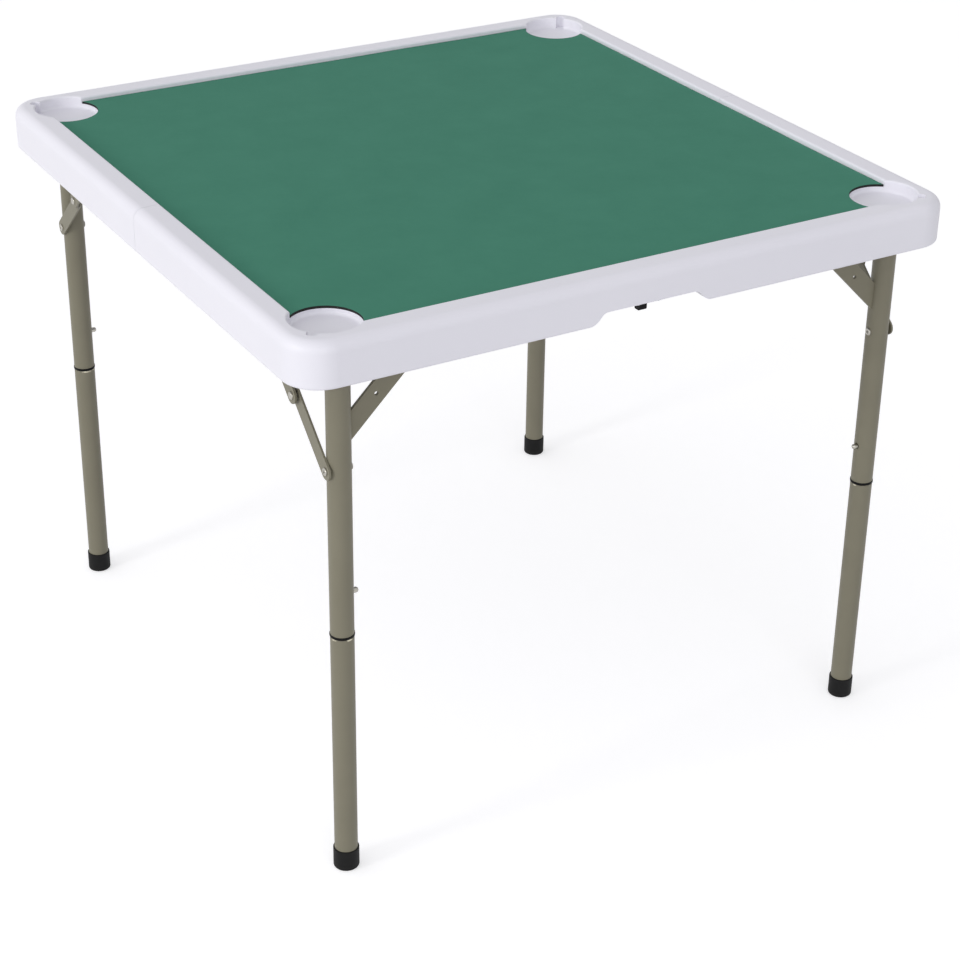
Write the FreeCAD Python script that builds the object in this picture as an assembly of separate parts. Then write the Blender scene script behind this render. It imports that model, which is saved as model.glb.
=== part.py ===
import FreeCAD, Part
import math
import os

# Folding game table in millimetres. Two moulded halves are hinged along a fold line, a loose mat
# lies in their recess, and under each half a leg frame turns on its crossbar. X runs along the
# fold line, Y across it and Z up. The origin is on the floor under the middle of the table.

V = FreeCAD.Vector
ALONG_X = V(1, 0, 0)
ALONG_Y = V(0, 1, 0)
ALONG_Z = V(0, 0, 1)

# Whole table
table_side = 880.0
table_height = 715.0
fold_gap = 0.5
overrun = 2.0
running_gap = 0.05
turning_gap = 0.4

# Moulded halves
rim_depth = 55.0
rim_width = 35.0
rim_top_round = 13.0
rim_edge_round = 3.0
corner_radius = 45.0
skirt_wall = 20.0
cavity_corner_radius = 25.0
fold_wall = 8.0
recess_depth = 9.0
deck_thickness = 14.0
rib_thickness = 6.0
rib_depth = 9.0
rib_side_margin = 62.0
rib_end_margin = 76.0
rib_field_start = 44.0
rib_columns = 9
rib_rows = 4
leg_slot_width = 44.0

# Cup recesses in the corners
cup_radius = 41.0
cup_inset = 62.0
cup_depth = 6.5
cup_floor_round = 4.0
cup_lip_round = 2.0
cup_notch_width = 12.0
cup_notch_reach = 9.0
cup_notch_round = 4.0

# Carrying notch in each long rim
notch_height = 15.0
notch_end_room = 5.0
notch_slope = 55.0
notch_top_round = 10.5
notch_low_round = 24.0

# Mat
mat_thickness = 3.0
mat_play = 1.0

# Leg frames
leg_side_inset = 66.0
leg_end_inset = 44.0
leg_radius = 14.0
tube_wall = 1.2
pivot_drop = 39.5
crossbar_radius = 12.5
crossbar_wall = 1.5
strut_width = 25.0
strut_thickness = 4.0
strut_joint_drop = 86.5
strut_angle = 45.0
strut_hole_radius = 2.5
strut_hole_along = 59.0

# Crossbar saddles
saddle_x = 170.0
saddle_length = 30.0
saddle_sheet = 1.5
saddle_flange = 10.0

# Plug-in lower legs
collar_height = 326.0
collar_flange = 3.4
collar_lip = 0.7
collar_sleeve = 35.0
collar_wall = 1.2
neck_length = 85.0
neck_taper = 4.0
shoulder_round = 2.0
foot_height = 28.0
foot_wall = 1.65
foot_floor = 5.0
foot_round = 3.0
foot_lip_round = 1.2

# Snap buttons
button_rise = 54.0
button_radius = 3.5
button_tip = 21.0
button_flange_radius = 4.5
button_flange = 1.2
button_hole_extra = 0.4
button_dome_round = 3.1
spring_width = 6.0
spring_sheet = 0.6
spring_drop = 35.0
spring_overlap = 5.0
spring_gap = 0.25

# Folding braces
brace_leg_drop = 135.5
brace_run = 148.0
link_width = 20.0
link_sheet = 2.5
link_gap = 0.5
brace_rivet_radius = 3.0
rivet_head_radius = 4.8
rivet_head = 2.0
rivet_dome_round = 1.7
rivet_play = 0.3
bracket_length = 46.0
bracket_reach = 21.0
bracket_screw_offset = 15.0

# Fold hinges
hinge_x = 220.0
hinge_length = 70.0
hinge_leaf = 2.0
hinge_leaf_width = 32.0
hinge_knuckle_radius = 3.5
hinge_pin_radius = 1.75
hinge_knuckles = 3
hinge_screw_x = 24.0
hinge_screw_y = 21.0
hinge_pad_margin = 4.0

# Screws
screw_radius = 1.6
screw_length = 8.0
screw_head_radius = 3.6
screw_head = 2.0
cross_length = 4.4
cross_width = 1.0
cross_depth = 0.9
flat_head_radius = 3.4
flat_head = 1.6

# Latch in the front notch
latch_plate_length = 36.0
latch_plate_width = 13.0
latch_plate = 2.0
latch_width = 10.0
latch_ear = 1.6
latch_pivot_drop = 7.5
latch_round = 3.5
latch_reach = 10.0
latch_nose = 3.0
latch_nose_height = 3.0
latch_pin_radius = 1.5
latch_screw_x = 13.5
latch_inset = 21.0

# Carrying handle in the rear notch
handle_ear = 3.0
handle_side_gap = 1.5
handle_pivot_drop = 8.5
handle_arm_top = 5.0
handle_arm_round = 4.0
handle_arm_inner = 42.0
handle_arm_width = 12.5
handle_waist_flare = 2.0
handle_waist_width = 9.0
handle_waist_drop = 26.0
handle_wide_flare = 6.0
handle_wide_width = 16.0
handle_flare_drop = 21.0
handle_loop_drop = 22.0
handle_grip_height = 17.0
handle_grip_lip = 1.0
handle_thickness = 9.0
handle_edge_round = 2.0
handle_panel_inset = 3.6
handle_panel_depth = 1.2
handle_corner_round = 16.0
handle_inner_round = 7.0
handle_waist_round = 18.0
handle_pin_radius = 2.5
handle_pin_depth = 9.0
handle_keeper_width = 18.0
handle_keeper_drop = 6.0
handle_screw_inset = 8.0

# Heights and places that follow from those sizes
half_side = table_side / 2
fold_face = fold_gap / 2
rim_bottom = table_height - rim_depth
deck_top = table_height - recess_depth
deck_under = deck_top - deck_thickness
recess_half = half_side - rim_width
mat_half = recess_half - mat_play
skirt_inner = half_side - skirt_wall
notch_top = rim_bottom + notch_height
notch_y = half_side - skirt_wall / 2
pivot_height = table_height - pivot_drop
rib_field_width = table_side - 2 * rib_side_margin
rib_field_depth = half_side - rib_field_start - rib_end_margin
cup_centre = half_side - cup_inset
leg_x = half_side - leg_side_inset
leg_y = half_side - leg_end_inset
latch_y = half_side - latch_inset
strut_joint_height = pivot_height - strut_joint_drop
button_height = collar_height + button_rise
spring_bend_height = button_height - spring_drop
spring_rise = spring_drop + spring_overlap
handle_arm_outer = handle_arm_inner + handle_arm_width
handle_waist_inner = handle_arm_inner + handle_waist_flare
handle_waist_outer = handle_waist_inner + handle_waist_width
handle_wide_inner = handle_arm_inner + handle_wide_flare
handle_wide_outer = handle_wide_inner + handle_wide_width
handle_wide_drop = handle_waist_drop + handle_flare_drop
handle_opening_drop = handle_wide_drop + handle_loop_drop
handle_length = handle_opening_drop + handle_grip_height
handle_grip_radius = (handle_grip_height - handle_grip_lip) / 2
handle_screw_x = handle_arm_inner - handle_screw_inset
handle_plate_reach = handle_arm_outer + handle_side_gap + handle_ear
notch_half_top = handle_plate_reach + notch_end_room
leg_bore = leg_radius - tube_wall
collar_top = collar_height + collar_flange
collar_bore = leg_bore - collar_wall
neck_radius = collar_bore - running_gap
neck_bore = neck_radius - tube_wall
neck_top = collar_height + neck_length
link_layer = leg_radius + link_gap
head_layer = link_layer + link_sheet + rivet_play
outer_layer = head_layer + rivet_head + link_gap
bracket_layer = outer_layer + link_sheet + link_gap
brace_length = math.hypot(brace_run, brace_leg_drop)
lower_link = (brace_length - (brace_run - brace_leg_drop)) / 2
brace_angle = math.atan2(brace_leg_drop, brace_run)


def box(x_span, y_span, z_span):
    """Block between two values on each axis."""
    low = V(min(x_span), min(y_span), min(z_span))
    high = V(max(x_span), max(y_span), max(z_span))
    size = high - low
    return Part.makeBox(size.x, size.y, size.z, low)


def rod(radius, start, along, length):
    """Round bar from a start point."""
    return Part.makeCylinder(radius, length, start, along)


def outline(corners):
    """Flat face in the XY plane from (u, v, corner radius) corners."""
    starts, middles, ends = [], [], []
    for here, (u, v, radius) in enumerate(corners):
        corner = V(u, v, 0)
        last = corners[here - 1]
        following = corners[(here + 1) % len(corners)]
        before = V(last[0], last[1], 0) - corner
        after = V(following[0], following[1], 0) - corner
        before.normalize()
        after.normalize()
        if not radius:
            starts.append(corner)
            middles.append(None)
            ends.append(corner)
            continue
        half_angle = before.getAngle(after) / 2
        tangent = radius / math.tan(half_angle)
        inward = (before + after).normalize()
        starts.append(corner + before * tangent)
        ends.append(corner + after * tangent)
        middles.append(corner + inward * (radius / math.sin(half_angle) - radius))
    edges = []
    for here in range(len(corners)):
        if middles[here] is not None:
            edges.append(Part.Arc(starts[here], middles[here], ends[here]).toShape())
        following = starts[(here + 1) % len(corners)]
        if not ends[here].isEqual(following, Part.Precision.confusion()):
            edges.append(Part.LineSegment(ends[here], following).toShape())
    return Part.Face(Part.Wire(edges))


def plate(normal, corners, start, thickness):
    """Plate square to an axis: (u, v) are the other two axes in X, Y, Z order."""
    face = outline(corners)
    if normal == ALONG_X:
        face.rotate(V(0, 0, 0), V(1, 1, 1), 120)
    if normal == ALONG_Y:
        face.rotate(V(0, 0, 0), ALONG_X, 90)
    face.translate(normal * start)
    return face.extrude(normal * thickness)


def rectangle(u_span, v_span, radius=0):
    """Four corners with one radius."""
    return [(u_span[0], v_span[0], radius), (u_span[1], v_span[0], radius),
            (u_span[1], v_span[1], radius), (u_span[0], v_span[1], radius)]


def bar_corners(first, second, width):
    """Corners of a flat bar with full round ends about two points."""
    along = V(second[0] - first[0], second[1] - first[1], 0).normalize() * (width / 2)
    side = V(-along.y, along.x, 0)
    near = V(first[0], first[1], 0) - along
    far = V(second[0], second[1], 0) + along
    places = [near - side, far - side, far + side, near + side]
    return [(place.x, place.y, width / 2) for place in places]


def turned(profile, x, y):
    """Solid of revolution about a vertical line, from (radius, height, round) corners."""
    face = outline(profile)
    face.rotate(V(0, 0, 0), ALONG_X, 90)
    solid = face.revolve(V(0, 0, 0), ALONG_Z, 360)
    solid.translate(V(x, y, 0))
    return solid


def rounded(solid, radius, chosen):
    """Fillet the edges that a test picks."""
    return solid.makeFillet(radius, [edge for edge in solid.Edges if chosen(edge)])


def mirrored(shape):
    """The same shape on the other side of the YZ plane."""
    return shape.mirror(V(0, 0, 0), ALONG_X)


def turned_round(shape):
    """The same shape half a turn round the table."""
    copy = shape.copy()
    copy.rotate(V(0, 0, 0), ALONG_Z, 180)
    return copy


def cross_recess(x, y, face):
    """Two crossed grooves for the driver, going up from a head's face."""
    height = (face - cross_depth, face + cross_depth)
    along = (-cross_length / 2, cross_length / 2)
    across = (-cross_width / 2, cross_width / 2)
    cross = box(along, across, height).fuse(box(across, along, height))
    cross.translate(V(x, y, 0))
    return cross


def pan_screw(x, y, seat):
    """Round-headed screw going up, its head under the seat height."""
    head = rod(screw_head_radius, V(x, y, seat - screw_head), ALONG_Z, screw_head)
    head = head.cut(cross_recess(x, y, seat - screw_head))
    return head.fuse(rod(screw_radius, V(x, y, seat), ALONG_Z, screw_length)).removeSplitter()


def flat_screw(x, y, seat, crossed):
    """Countersunk screw going up, its head level with the seat height, crossed or plain."""
    head = Part.makeCone(flat_head_radius, screw_radius, flat_head, V(x, y, seat), ALONG_Z)
    if crossed:
        head = head.cut(cross_recess(x, y, seat))
    shank = rod(screw_radius, V(x, y, seat + flat_head), ALONG_Z, screw_length)
    return head.fuse(shank).removeSplitter()


def rivet(y, z, inner, outer):
    """Rivet along X with its grip between two places and a head beyond each."""
    shank = rod(brace_rivet_radius, V(inner, y, z), ALONG_X, outer - inner)
    heads = [rivet_dome(V(inner, y, z), V(-1, 0, 0)), rivet_dome(V(outer, y, z), ALONG_X)]
    return shank.fuse(heads).removeSplitter()


def rivet_dome(seat, away):
    """Rivet head with a rounded face, standing on a seat point."""
    tip = seat.x + away.x * rivet_head
    head = rod(rivet_head_radius, seat, away, rivet_head)
    return rounded(head, rivet_dome_round, lambda edge: abs(edge.CenterOfMass.x - tip) < running_gap)


def saddle_screws():
    """Two screws in each crossbar saddle."""
    offset = crossbar_radius + saddle_sheet + saddle_flange / 2
    return [pan_screw(side * saddle_x, offset * across - leg_y, deck_under - saddle_sheet)
            for side in (-1, 1) for across in (-1, 1)]


def bracket_screws():
    """Two screws in each brace bracket."""
    place = leg_x + bracket_layer + bracket_reach / 2
    middle = brace_run - leg_y
    return [pan_screw(side * place, middle + across * bracket_screw_offset, deck_under - link_sheet)
            for side in (-1, 1) for across in (-1, 1)]


def hinge_screws(crossed=False):
    """Two countersunk screws in each hinge leaf, with crosses or as plain tools."""
    return [flat_screw(side * hinge_x + across * hinge_screw_x, -hinge_screw_y, rim_bottom, crossed)
            for side in (-1, 1) for across in (-1, 1)]


def notch_screws(offset, thickness):
    """Two screws that hold a fitting to the top of the carrying notch."""
    return [pan_screw(side * offset, -notch_y, notch_top - thickness) for side in (-1, 1)]


def rim_block():
    """Outer block of one half with its rounded rim and the mat recess."""
    corners = [(-half_side, -fold_face, 0), (-half_side, -half_side, corner_radius),
               (half_side, -half_side, corner_radius), (half_side, -fold_face, 0)]
    block = plate(ALONG_Z, corners, rim_bottom, rim_depth)
    block = rounded(block, rim_top_round, lambda edge: on_rim(edge, table_height))
    block = rounded(block, rim_edge_round, lambda edge: on_rim(edge, rim_bottom))
    recess = box((-recess_half, recess_half), (-recess_half, overrun), (deck_top, table_height + overrun))
    block = block.cut(recess)
    return rounded(block, rim_edge_round, lambda edge: on_recess_lip(edge))


def on_rim(edge, height):
    """True for the outer edges at a height, without the fold side."""
    flat = abs(edge.BoundBox.ZMin - height) + abs(edge.BoundBox.ZMax - height) < running_gap
    return flat and edge.CenterOfMass.y < -fold_gap


def on_recess_lip(edge):
    """True for the three top edges around the mat recess."""
    middle = edge.CenterOfMass
    inside = max(abs(middle.x), abs(middle.y)) < recess_half + running_gap
    return inside and edge.BoundBox.ZMin > table_height - running_gap and middle.y < -fold_gap


def cup_cutter(side):
    """Space of one cup recess, flared at the rim's top, and the small notch at its corner side."""
    floor = deck_top - cup_depth
    above = table_height + overrun
    flare = cup_radius + cup_lip_round + overrun
    profile = [(0, floor, 0), (cup_radius, floor, cup_floor_round), (cup_radius, table_height, cup_lip_round),
               (flare, table_height, 0), (flare, above, 0), (0, above, 0)]
    well = turned(profile, 0, 0)
    slot_corners = rectangle((0, cup_radius + cup_notch_reach), (-cup_notch_width / 2, cup_notch_width / 2),
                             cup_notch_round)
    slot = plate(ALONG_Z, slot_corners, floor, above - floor)
    slot.rotate(V(0, 0, 0), ALONG_Z, -90 - side * 45)
    cutter = well.fuse(slot)
    cutter.translate(V(-side * cup_centre, -cup_centre, 0))
    return cutter


def notch_cutter(clearance=0):
    """Space of the carrying notch under the long rim, narrower by a clearance at each end."""
    spread = notch_height / math.tan(math.radians(notch_slope))
    top = notch_half_top - clearance
    outside = top + spread + corner_radius
    right = [(outside, rim_bottom - overrun, 0), (outside, rim_bottom, 0),
             (top + spread, rim_bottom, notch_low_round), (top, notch_top, notch_top_round)]
    left = [(-u, v, radius) for u, v, radius in reversed(right)]
    return plate(ALONG_Y, right + left, -half_side - overrun, skirt_wall + 2 * overrun)


def rib_pockets():
    """Hollows between the ribs under the deck, kept clear of the cup recesses."""
    pitch_x = rib_field_width / rib_columns
    pitch_y = rib_field_depth / rib_rows
    reach_x = (pitch_x - rib_thickness) / 2
    reach_y = (pitch_y - rib_thickness) / 2
    room = cup_radius + rib_thickness
    cup_room = [rod(room, V(side * cup_centre, -cup_centre, rim_bottom), ALONG_Z, rim_depth)
                for side in (-1, 1)]
    pockets = []
    for column in range(rib_columns):
        for row in range(rib_rows):
            x = column * pitch_x - (rib_field_width - pitch_x) / 2
            y = -rib_field_start - pitch_y / 2 - row * pitch_y
            pocket = box((x - reach_x, x + reach_x), (y - reach_y, y + reach_y),
                         (deck_under - overrun, deck_under + rib_depth))
            pockets.append(pocket.cut(cup_room))
    return pockets


def fold_wall_cuts():
    """Slots for the legs and seats for the hinges along the fold wall."""
    below = rim_bottom - overrun
    cuts = []
    for side in (-1, 1):
        slot = (side * leg_x - leg_slot_width / 2, side * leg_x + leg_slot_width / 2)
        cuts.append(box(slot, (-fold_wall - overrun, overrun), (below, deck_under)))
        reach = hinge_length / 2 + turning_gap
        seat = (side * hinge_x - reach, side * hinge_x + reach)
        cuts.append(box(seat, (-hinge_leaf_width - turning_gap, overrun), (below, rim_bottom + hinge_leaf)))
        knuckle_room = hinge_knuckle_radius + 2 * turning_gap
        cuts.append(rod(knuckle_room, V(seat[0], 0, rim_bottom), ALONG_X, 2 * reach))
    return cuts


def moulding(notch_fixings):
    """One half of the top, hollow underneath."""
    half = rim_block().cut([cup_cutter(side) for side in (-1, 1)])
    hollow = [(-skirt_inner, -fold_wall, 0), (-skirt_inner, -skirt_inner, cavity_corner_radius),
              (skirt_inner, -skirt_inner, cavity_corner_radius), (skirt_inner, -fold_wall, 0)]
    half = half.cut(plate(ALONG_Z, hollow, rim_bottom - overrun, deck_under - rim_bottom + overrun))
    pad_reach = hinge_length / 2 + hinge_pad_margin
    pad_depth = hinge_leaf_width + hinge_pad_margin
    pads = [box((side * hinge_x - pad_reach, side * hinge_x + pad_reach), (-pad_depth, -fold_wall),
                (rim_bottom, deck_under)) for side in (-1, 1)]
    half = half.fuse(pads).removeSplitter()
    half = half.cut(rib_pockets() + fold_wall_cuts() + [notch_cutter()])
    return half.cut(saddle_screws() + bracket_screws() + hinge_screws() + notch_fixings)


def mat():
    """Square mat with a round bite at each corner."""
    sheet = plate(ALONG_Z, rectangle((-mat_half, mat_half), (-mat_half, mat_half)), deck_top, mat_thickness)
    bites = [rod(cup_radius, V(x * cup_centre, y * cup_centre, deck_top - overrun), ALONG_Z,
                 mat_thickness + 2 * overrun) for x in (-1, 1) for y in (-1, 1)]
    return sheet.cut(bites)


def crossbar():
    """Tube that joins two legs and turns in the saddles."""
    length = 2 * (leg_x + leg_radius)
    start = V(-length / 2, -leg_y, pivot_height)
    return rod(crossbar_radius, start, ALONG_X, length).cut(
        rod(crossbar_radius - crossbar_wall, start, ALONG_X, length))


def crossbar_core():
    """Full round space that the crossbar takes."""
    return rod(crossbar_radius, V(-half_side, -leg_y, pivot_height), ALONG_X, table_side)


def upper_leg():
    """Right upper leg tube, coped to the crossbar, with its rivet and button holes."""
    height = pivot_height - collar_top
    foot = V(leg_x, -leg_y, collar_top)
    tube = rod(leg_radius, foot, ALONG_Z, height).cut(rod(leg_bore, foot, ALONG_Z, height))
    pin_start = V(leg_x - 2 * leg_radius, -leg_y, pivot_height - brace_leg_drop)
    pin_hole = rod(brace_rivet_radius, pin_start, ALONG_X, 4 * leg_radius)
    button_start = V(leg_x - 2 * leg_radius, -leg_y, button_height)
    button_hole = rod(button_radius + button_hole_extra, button_start, ALONG_X, 2 * leg_radius)
    return tube.cut([crossbar_core(), pin_hole, button_hole])


def strut():
    """Right corner strip between the leg and the crossbar, with one hole."""
    length = half_side
    sheet = (-strut_thickness / 2, strut_thickness / 2)
    strip = box((0, length), sheet, (-strut_width / 2, strut_width / 2))
    hole = rod(strut_hole_radius, V(strut_hole_along, -strut_thickness, 0), ALONG_Y, 2 * strut_thickness)
    strip = strip.cut(hole)
    strip.translate(V(-leg_radius, 0, 0))
    strip.rotate(V(0, 0, 0), ALONG_Y, 180 + strut_angle)
    strip.translate(V(leg_x - leg_radius, -leg_y, strut_joint_height))
    leg_core = rod(leg_radius, V(leg_x, -leg_y, 0), ALONG_Z, table_height)
    beyond_leg = box((leg_x, table_side), (-half_side, 0), (0, table_height))
    above = box((-table_side, table_side), (-half_side, 0), (pivot_height, 2 * table_height))
    return strip.cut([leg_core, beyond_leg, crossbar_core(), above])


def saddle():
    """Right strap that carries the crossbar under the deck."""
    outer = crossbar_radius + running_gap + saddle_sheet
    inner = crossbar_radius + running_gap
    start = saddle_x - saddle_length / 2
    span = (start, start + saddle_length)
    strap = rod(outer, V(start, 0, pivot_height), ALONG_X, saddle_length)
    strap = strap.fuse([box(span, (-outer, outer), (pivot_height, deck_under)),
                        box(span, (-outer - saddle_flange, outer + saddle_flange),
                            (deck_under - saddle_sheet, deck_under))])
    strap = strap.cut([rod(inner, V(start, 0, pivot_height), ALONG_X, saddle_length),
                       box(span, (-inner, inner), (pivot_height, deck_under))])
    strap.translate(V(0, -leg_y, 0))
    return strap.removeSplitter().cut(saddle_screws())


def collar():
    """Right plastic bush in the end of the upper leg."""
    profile = [(collar_bore, collar_height, 0), (leg_radius + collar_lip, collar_height, collar_lip),
               (leg_radius + collar_lip, collar_top, collar_lip), (leg_bore, collar_top, 0),
               (leg_bore, collar_top + collar_sleeve, 0), (collar_bore, collar_top + collar_sleeve, 0)]
    return turned(profile, leg_x, -leg_y)


def lower_leg():
    """Right plug-in leg: a tube with a narrowed neck and a button hole."""
    profile = [(leg_bore, foot_floor, 0), (leg_radius, foot_floor, 0),
               (leg_radius, collar_height, shoulder_round), (neck_radius, collar_height, 0),
               (neck_radius, neck_top, 0), (neck_bore, neck_top, 0),
               (neck_bore, collar_height - shoulder_round, 0),
               (leg_bore, collar_height - shoulder_round - neck_taper, 0)]
    hole = rod(button_radius + running_gap, V(leg_x - 2 * leg_radius, -leg_y, button_height), ALONG_X,
               2 * leg_radius)
    return turned(profile, leg_x, -leg_y).cut(hole)


def foot():
    """Right rubber cap under the lower leg."""
    outer = leg_radius + foot_wall
    profile = [(0, 0, 0), (outer, 0, foot_round), (outer, foot_height, foot_lip_round),
               (leg_radius, foot_height, 0), (leg_radius, foot_floor, 0), (0, foot_floor, 0)]
    return turned(profile, leg_x, -leg_y)


def button():
    """Right snap button: a domed pin with a flange behind the neck wall."""
    flange_face = math.sqrt(neck_bore ** 2 - button_flange_radius ** 2) - running_gap
    back = flange_face - button_flange
    axis = V(-1, 0, 0)
    centre = V(leg_x, -leg_y, button_height)
    pin = rod(button_radius, centre + axis * back, axis, button_tip - back)
    tip = leg_x - button_tip
    pin = rounded(pin, button_dome_round, lambda edge: abs(edge.BoundBox.XMax - tip) < running_gap)
    return pin.fuse(rod(button_flange_radius, centre + axis * back, axis, button_flange)).removeSplitter()


def spring():
    """Right leaf spring, bent to a V inside the neck behind the button."""
    flange_back = math.sqrt(neck_bore ** 2 - button_flange_radius ** 2) - running_gap - button_flange
    near = leg_x - flange_back + spring_gap
    far = leg_x + math.sqrt(neck_bore ** 2 - spring_width ** 2 / 4) - spring_gap
    middle = (near + far) / 2
    top = spring_bend_height + spring_rise
    slant = math.atan2(far - middle, spring_rise)
    wide = spring_sheet / math.cos(slant)
    corners = [(near, top, 0), (middle, spring_bend_height, spring_sheet), (far, top, 0),
               (far - wide, top, 0), (middle, spring_bend_height + spring_sheet / math.sin(slant), 0),
               (near + wide, top, 0)]
    return plate(ALONG_Y, corners, -leg_y - spring_width / 2, spring_width)


def brace_points():
    """Leg rivet, knuckle and bracket pivot of the brace, as (y, z)."""
    leg_pin = (-leg_y, pivot_height - brace_leg_drop)
    run = lower_link * math.cos(brace_angle)
    rise = lower_link * math.sin(brace_angle)
    knuckle = (leg_pin[0] + run, leg_pin[1] + rise)
    bracket_pin = (brace_run - leg_y, pivot_height)
    return leg_pin, knuckle, bracket_pin


def link(first, second, layer):
    """Right flat brace link with a pivot hole at each end."""
    bar = plate(ALONG_X, bar_corners(first, second, link_width), leg_x + layer, link_sheet)
    bore = brace_rivet_radius + running_gap
    start = leg_x + layer - link_sheet
    holes = [rod(bore, V(start, y, z), ALONG_X, 3 * link_sheet) for y, z in (first, second)]
    return bar.cut(holes)


def knuckle_rivet():
    """Right rivet at the brace knuckle: head, short shank and the spacer between the links."""
    y, z = brace_points()[1]
    spacer_start = leg_x + head_layer
    spacer = rod(rivet_head_radius, V(spacer_start, y, z), ALONG_X, outer_layer - head_layer)
    shank = rod(brace_rivet_radius, V(leg_x + outer_layer, y, z), ALONG_X, link_sheet)
    head = rivet_dome(V(leg_x + outer_layer + link_sheet, y, z), ALONG_X)
    return spacer.fuse([shank, head]).removeSplitter()


def leg_rivet():
    """Right rivet through the leg and the lower link."""
    y, z = brace_points()[0]
    return rivet(y, z, leg_x - leg_radius, leg_x + head_layer)


def bracket():
    """Right bent bracket under the deck, outside the upper link that it carries."""
    y, z = brace_points()[2]
    wide = bracket_length / 2
    ear_corners = [(y - wide, deck_under, 0), (y - link_width / 2, z - link_width / 2, link_width / 2),
                   (y + link_width / 2, z - link_width / 2, link_width / 2), (y + wide, deck_under, 0)]
    start = leg_x + bracket_layer
    ear = plate(ALONG_X, ear_corners, start, link_sheet)
    base = box((start, start + bracket_reach), (y - wide, y + wide), (deck_under - link_sheet, deck_under))
    hole = rod(brace_rivet_radius, V(start - link_sheet, y, z), ALONG_X, 3 * link_sheet)
    return ear.fuse(base).removeSplitter().cut([hole] + bracket_screws())


def bracket_rivet():
    """Right rivet that joins the upper link to its bracket."""
    y, z = brace_points()[2]
    return rivet(y, z, leg_x + outer_layer - rivet_play, leg_x + bracket_layer + link_sheet)


def hinge_leaf_plate(side, own):
    """Front hinge leaf with every second knuckle, starting at the first or the second."""
    start = side * hinge_x - hinge_length / 2
    pitch = hinge_length / hinge_knuckles
    span = (start, start + hinge_length)
    leaf = box(span, (-hinge_leaf_width, 0), (rim_bottom, rim_bottom + hinge_leaf))
    room = hinge_knuckle_radius + turning_gap
    bore = hinge_pin_radius + running_gap * own
    tools = [rod(bore, V(start, 0, rim_bottom), ALONG_X, hinge_length)]
    for place in range(hinge_knuckles):
        knuckle_start = start + place * pitch
        if place % 2 == own:
            play = turning_gap / 2
            leaf = leaf.fuse(rod(hinge_knuckle_radius, V(knuckle_start + play, 0, rim_bottom), ALONG_X,
                                 pitch - 2 * play))
        else:
            tools.append(rod(room, V(knuckle_start, 0, rim_bottom), ALONG_X, pitch))
    return leaf.cut(tools + hinge_screws())


def hinge_pin(side):
    """Steel pin through the knuckles of one hinge."""
    return rod(hinge_pin_radius, V(side * hinge_x - hinge_length / 2, 0, rim_bottom), ALONG_X, hinge_length)


def latch_base():
    """Plate with two ears in the front notch, for the latch hook."""
    reach = latch_plate_length / 2
    base = box((-reach, reach), (-notch_y - latch_plate_width / 2, latch_round - latch_y),
               (notch_top - latch_plate, notch_top))
    pivot = notch_top - latch_pivot_drop
    ear_outline = bar_corners((-latch_y, notch_top), (-latch_y, pivot), 2 * latch_round)
    trim = box((-reach, reach), (-half_side, 0), (notch_top, table_height))
    inner = latch_width / 2 + turning_gap
    for start in (-inner - latch_ear, inner):
        base = base.fuse(plate(ALONG_X, ear_outline, start, latch_ear).cut(trim))
    hole = rod(latch_pin_radius + running_gap, V(-reach, -latch_y, pivot), ALONG_X, 2 * reach)
    return base.removeSplitter().cut([hole] + notch_screws(latch_screw_x, latch_plate))


def latch_hook():
    """Hook that hangs from the latch base."""
    pivot = notch_top - latch_pivot_drop
    low = pivot - latch_reach
    lip = low + latch_nose_height
    back = -latch_y - latch_round
    front = -latch_y + latch_round
    corners = [(back, pivot + latch_round, latch_round), (back, low, latch_nose_height),
               (front + latch_nose, low, 0), (front + latch_nose, lip, 0), (front, lip, 0),
               (front, pivot + latch_round, latch_round)]
    hook = plate(ALONG_X, corners, -latch_width / 2, latch_width)
    return hook.cut(rod(latch_pin_radius, V(-latch_width, -latch_y, pivot), ALONG_X, 2 * latch_width))


def latch_pin():
    """Pin of the latch hook."""
    reach = latch_width / 2 + turning_gap + latch_ear
    return rod(latch_pin_radius, V(-reach, -latch_y, notch_top - latch_pivot_drop), ALONG_X, 2 * reach)


def handle_base():
    """Plate in the rear notch with an ear at each end and the keeper for the latch."""
    reach = handle_plate_reach
    base = box((-reach, reach), (-notch_y - latch_plate_width / 2, -notch_y + latch_plate_width / 2),
               (notch_top - latch_plate, notch_top))
    pivot = notch_top - handle_pivot_drop
    ear_outline = bar_corners((-notch_y, notch_top), (-notch_y, pivot), 2 * handle_arm_top)
    trim = box((-reach, reach), (-half_side, 0), (notch_top, table_height))
    for start in (-reach, reach - handle_ear):
        base = base.fuse(plate(ALONG_X, ear_outline, start, handle_ear).cut(trim))
    wide = handle_keeper_width / 2
    keeper = box((-wide, wide), (-notch_y - latch_plate, -notch_y + latch_plate),
                 (notch_top - latch_plate - handle_keeper_drop, notch_top - latch_plate))
    hole = rod(handle_pin_radius + running_gap, V(-reach, -notch_y, pivot), ALONG_X, 2 * reach)
    base = base.common(notch_cutter(turning_gap)).cut([hole] + notch_screws(handle_screw_x, latch_plate))
    return base.fuse(keeper).removeSplitter()


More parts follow.
